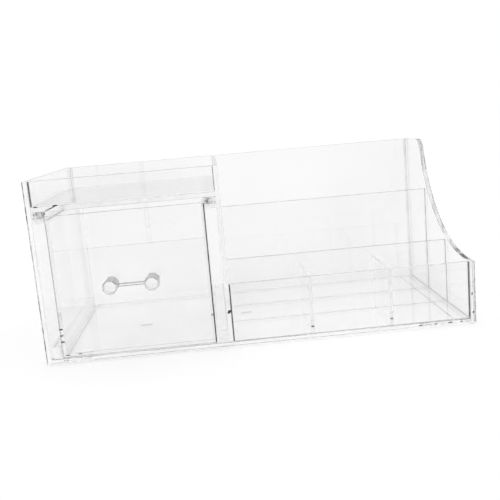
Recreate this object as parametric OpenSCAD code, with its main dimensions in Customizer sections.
// Clear desk organizer: a cemented sheet case with a drawer bay under a shallow tray,
// three stepped rows beside it, and a pull-out drawer with a dumbbell handle.
// Millimetres, +Z up, the front faces -Y, the origin is under the middle of the case.

/* [Case] */
// Width of the case over its two outer sides
case_w = 304; // [250:1:380]
// Depth of the case from its front edges to the rear edges of its sides
case_d = 152; // [125:1:190]
// Height from the surface it stands on to the rim
case_h = 128; // [105:1:160]
// Thickness of the two outer sides and of the centre wall
wall_t = 3.5; // [2.5:0.1:5]
// Thickness of the base, the back and the front panels
panel_t = 3; // [2:0.1:4]
// Thickness of the partitions and dividers
partition_t = 2.5; // [1.5:0.1:3.5]
// Radius along the lower outer edge of each side
edge_r = 3; // [0.5:0.1:3.2]

/* [Base] */
// How far the raised plinth stands down below the base
plinth_h = 1; // [0.5:0.1:3]
// Distance from each outer side of the case to the plinth
plinth_inset = 14.5; // [8:0.5:30]

/* [Tray and drawer bay] */
// Clear width between the left side and the centre wall
bay_w = 123.4; // [100:0.1:150]
// Clear depth of the tray below the rim
tray_depth = 17.5; // [10:0.5:30]
// Thickness of the tray floor
tray_floor_t = 3.5; // [2:0.1:5]
// How far the back panel sits in from the rear edges of the sides, which is the rib's thickness
back_recess = 1.5; // [1:0.1:3]
// Width of the stiffening rib up the back of the drawer bay
rib_w = 4; // [2:0.5:10]
// Height of the rib's lower end above the standing surface
rib_foot_z = 55; // [20:1:70]

/* [Stepped rows] */
// Height of the front panel, the dividers and the front of the right side
front_h = 45.5; // [35:0.5:60]
// Height of the middle partition's top edge
middle_partition_h = 53; // [40:0.5:66]
// Height of the rear partition's top edge
rear_partition_h = 88; // [70:0.5:104]
// Clear depth of the front row, from the front panel to the middle partition
front_row_d = 47; // [35:0.5:58]
// Clear depth of the rear row, from the rear partition to the back panel
rear_row_d = 48.5; // [30:0.5:60]

/* [Swept edge of the right side] */
// Level stretch at the front before the edge starts to climb
sweep_lead = 6.5; // [0:0.5:15]
// Level stretch at the back, up at the rim
sweep_top = 33; // [20:0.5:45]
// Convex radius where the climbing edge turns level at the rim
sweep_shoulder_r = 11; // [4:0.5:20]

/* [Drawer] */
// Depth of the drawer from its front face to its back
drawer_d = 130; // [100:0.5:135]
// Thickness of the drawer's front
drawer_front_t = 3; // [2:0.1:4]
// Thickness of the drawer's sides, back and floor
drawer_t = 2.5; // [1.5:0.1:3.5]
// Space between each side of the drawer box and the bay wall beside it
side_space = 8; // [5:0.1:12]
// Height of the drawer's back above the standing surface
drawer_back_h = 59; // [30:1:90]
// Height of the gap between the drawer front and the tray floor
finger_gap = 3.4; // [2:0.1:6]
// Thickness of the flange along the top of each drawer side
flange_t = 2.2; // [1.5:0.1:3]
// Width and height of the guide strip at each lower corner of the bay
guide_h = 8; // [4:0.5:15]

/* [Clearances] */
// Gap between the drawer and what it slides on or between
slide_gap = 0.4; // [0.3:0.05:0.8]
// Gap under the kicker rails, above the drawer's flanges
kicker_gap = 0.8; // [0.4:0.1:1.5]

/* [Handle] */
// Distance between the centres of the two knobs
knob_spacing = 28; // [22:0.5:45]
// Width of a knob across its corners
knob_w = 10.6; // [8:0.1:16]
// How far a knob stands out from the drawer front
knob_len = 12.5; // [10:0.5:20]
// Bevel round the outer face of a knob
knob_bevel = 1; // [0.5:0.1:2]
// Diameter of the bar between the knobs
bar_d = 2.4; // [2:0.1:4]
// Distance from the drawer front to the middle of the bar
bar_reach = 6.5; // [6.2:0.1:8]

/* [Hidden] */
$fn = 64;

clear = [0.93, 0.95, 0.96, 0.35];
left = -1;
right = 1;

// Faces of the case
side_x = case_w / 2;
front_y = -case_d / 2;
back_y = case_d / 2;
floor_z = plinth_h + panel_t;
back_panel_y = back_y - back_recess - panel_t;
tray_z = case_h - tray_depth;
tray_under_z = tray_z - tray_floor_t;

// Clear bay at the left, for the drawer and the tray above it
bay_x0 = -side_x + wall_t;
bay_x1 = bay_x0 + bay_w;
bay_mid_x = (bay_x0 + bay_x1) / 2;

// Clear width of the stepped rows at the right
rows_x0 = bay_x1 + wall_t;
rows_x1 = side_x - wall_t;
middle_partition_y = front_y + panel_t + front_row_d;
rear_partition_y = back_panel_y - rear_row_d - partition_t;

// Two dividers make the front row into equal cells
front_cells = 3;
cell_pitch = (rows_x1 - rows_x0) / front_cells;

// The swept edge is a concave arc that meets the shoulder's convex arc at a tangent
sweep_run = case_d - sweep_top - sweep_lead;
shoulder_z = case_h - sweep_shoulder_r;
sweep_rise = shoulder_z - front_h;
sweep_r = (pow(sweep_run, 2) + pow(sweep_rise, 2) - pow(sweep_shoulder_r, 2)) / (2 * (case_h - front_h));

// Drawer box
drawer_z0 = floor_z + slide_gap;
drawer_floor_top = drawer_z0 + drawer_t;
drawer_front_top = tray_under_z - finger_gap;
drawer_back_y = front_y + drawer_d;
drawer_x0 = bay_x0 + side_space;
drawer_x1 = bay_x1 - side_space;
box_y0 = front_y + drawer_front_t;
drawer_side_top = drawer_front_top - drawer_t;
kicker_z0 = drawer_side_top + kicker_gap;
flange_w = side_space - slide_gap;
guide_w = side_space - slide_gap;
strip_y0 = box_y0 + slide_gap;

// Handle
handle_z = (drawer_z0 + drawer_front_top) / 2;
bar_y = front_y - bar_reach;

// A rectangular piece of sheet between two opposite corners
module sheet_piece(from, to) {
    translate(from)
        cube(to - from);
}

// An outline in the Y-Z plane, measured from the front edge and the standing surface,
// made into a sheet of thickness t whose left face is at x
module upright_sheet(x, t) {
    translate([x, front_y, 0])
        rotate([90, 0, 90])
            linear_extrude(t)
                children();
}

// The case's cross-section seen from the front, with its two lower edges rounded
module rounded_section() {
    translate([0, back_y, 0])
        rotate([90, 0, 0])
            linear_extrude(case_d) {
                translate([-side_x, plinth_h + edge_r])
                    square([case_w, case_h - plinth_h - edge_r]);
                translate([-side_x + edge_r, plinth_h])
                    square([case_w - 2 * edge_r, edge_r + 1]);
                for (s = [left, right])
                    translate([s * (side_x - edge_r), plinth_h + edge_r])
                        circle(edge_r);
            }
}

// Outline of the right side: low at the front, full height at the back
module swept_outline() {
    square([case_d, front_h]);
    translate([case_d - sweep_top, 0])
        square([sweep_top, case_h]);
    difference() {
        polygon([[sweep_lead, 0], [case_d - sweep_top, 0], [case_d - sweep_top, shoulder_z],
            [sweep_lead, front_h + sweep_r]]);
        translate([sweep_lead, front_h + sweep_r])
            circle(sweep_r, $fn = 180);
    }
    translate([case_d - sweep_top, shoulder_z])
        circle(sweep_shoulder_r);
}

module base_panel() {
    color(clear) {
        sheet_piece([-side_x + wall_t, front_y, plinth_h], [side_x - wall_t, back_y - back_recess, floor_z]);
        sheet_piece([-side_x + plinth_inset, front_y + edge_r, 0],
            [side_x - plinth_inset, back_y - back_recess - edge_r, plinth_h]);
    }
}

module back_panel() {
    color(clear)
        sheet_piece([-side_x + wall_t, back_panel_y, floor_z], [side_x - wall_t, back_y - back_recess, case_h]);
}

module back_rib() {
    color(clear)
        sheet_piece([bay_mid_x - rib_w / 2, back_y - back_recess, rib_foot_z],
            [bay_mid_x + rib_w / 2, back_y, case_h]);
}

module left_side_panel() {
    color(clear)
        intersection() {
            rounded_section();
            upright_sheet(-side_x, wall_t)
                square([case_d, case_h]);
        }
}

module right_side_panel() {
    color(clear)
        intersection() {
            rounded_section();
            upright_sheet(side_x - wall_t, wall_t)
                swept_outline();
        }
}

module centre_wall() {
    color(clear)
        sheet_piece([bay_x1, front_y, floor_z], [rows_x0, back_panel_y, case_h]);
}

module tray_floor() {
    color(clear)
        sheet_piece([bay_x0, front_y, tray_under_z], [bay_x1, back_panel_y, tray_z]);
}

module tray_front_panel() {
    color(clear)
        sheet_piece([bay_x0, front_y, tray_z], [bay_x1, front_y + panel_t, case_h]);
}

// A partition across the stepped rows, with its front face at y and its top edge at h
module row_partition(y, h) {
    color(clear)
        sheet_piece([rows_x0, y, floor_z], [rows_x1, y + partition_t, h]);
}

module rear_partition() {
    row_partition(rear_partition_y, rear_partition_h);
}

module middle_partition() {
    row_partition(middle_partition_y, middle_partition_h);
}

module front_panel() {
    color(clear)
        sheet_piece([rows_x0, front_y, floor_z], [rows_x1, front_y + panel_t, front_h]);
}

// A divider between two front compartments, counted from the left
module divider(number) {
    mid_x = rows_x0 + number * cell_pitch;
    color(clear)
        sheet_piece([mid_x - partition_t / 2, front_y + panel_t, floor_z],
            [mid_x + partition_t / 2, middle_partition_y, front_h]);
}

module divider_left() {
    divider(1);
}

module divider_right() {
    divider(2);
}

// A strip along a bay wall, as wide as the space beside the drawer allows
module bay_strip(side, w, z0, z1) {
    x0 = side == left ? bay_x0 : bay_x1 - w;
    color(clear)
        sheet_piece([x0, strip_y0, z0], [x0 + w, back_panel_y, z1]);
}

// The kicker rails hang under the tray floor and keep the pulled-out drawer level
module kicker_rail_left() {
    bay_strip(left, side_space, kicker_z0, tray_under_z);
}

module kicker_rail_right() {
    bay_strip(right, side_space, kicker_z0, tray_under_z);
}

// The guides at the foot of the bay keep the drawer central
module drawer_guide_left() {
    bay_strip(left, guide_w, floor_z, floor_z + guide_h);
}

module drawer_guide_right() {
    bay_strip(right, guide_w, floor_z, floor_z + guide_h);
}

// The drawer front is only as wide as the drawer box, so the channels beside it stay open
module drawer_front() {
    color(clear)
        sheet_piece([drawer_x0, front_y, drawer_z0], [drawer_x1, box_y0, drawer_front_top]);
}

module drawer_floor() {
    color(clear)
        sheet_piece([drawer_x0, box_y0, drawer_z0], [drawer_x1, drawer_back_y, drawer_floor_top]);
}

// A side of the drawer box, standing on the drawer's floor
module drawer_side(side) {
    x0 = side == left ? drawer_x0 : drawer_x1 - drawer_t;
    color(clear)
        sheet_piece([x0, box_y0, drawer_floor_top], [x0 + drawer_t, drawer_back_y, drawer_side_top]);
}

module drawer_left_side() {
    drawer_side(left);
}

module drawer_right_side() {
    drawer_side(right);
}

module drawer_back() {
    color(clear)
        sheet_piece([drawer_x0 + drawer_t, drawer_back_y - drawer_t, drawer_floor_top],
            [drawer_x1 - drawer_t, drawer_back_y, drawer_back_h]);
}

// A flange along the top of a drawer side, which runs just under the kicker rail
module drawer_flange(side) {
    x0 = side == left ? drawer_x0 - flange_w : drawer_x1;
    color(clear)
        sheet_piece([x0, box_y0, drawer_side_top - flange_t], [x0 + flange_w, drawer_back_y, drawer_side_top]);
}

module drawer_flange_left() {
    drawer_flange(left);
}

module drawer_flange_right() {
    drawer_flange(right);
}

// An eight-sided knob that stands on the drawer front, bevelled round its outer face
module knob() {
    straight = knob_len - knob_bevel;
    rotate([90, 180 / 8, 0]) {
        cylinder(h = straight, d = knob_w, $fn = 8);
        translate([0, 0, straight])
            cylinder(h = knob_bevel, d1 = knob_w, d2 = knob_w - 2 * knob_bevel, $fn = 8);
    }
}

// The handle is one moulding: two knobs with a thin round bar between them
module drawer_handle() {
    color(clear) {
        for (s = [left, right])
            translate([bay_mid_x + s * knob_spacing / 2, front_y, handle_z])
                knob();
        translate([bay_mid_x - knob_spacing / 2, bar_y, handle_z])
            rotate([0, 90, 0])
                cylinder(h = knob_spacing, d = bar_d, $fn = 32);
    }
}

base_panel();
back_panel();
back_rib();
left_side_panel();
centre_wall();
right_side_panel();
tray_floor();
tray_front_panel();
rear_partition();
middle_partition();
front_panel();
divider_left();
divider_right();
kicker_rail_left();
kicker_rail_right();
drawer_guide_left();
drawer_guide_right();
drawer_front();
drawer_floor();
drawer_left_side();
drawer_right_side();
drawer_back();
drawer_flange_left();
drawer_flange_right();
drawer_handle();
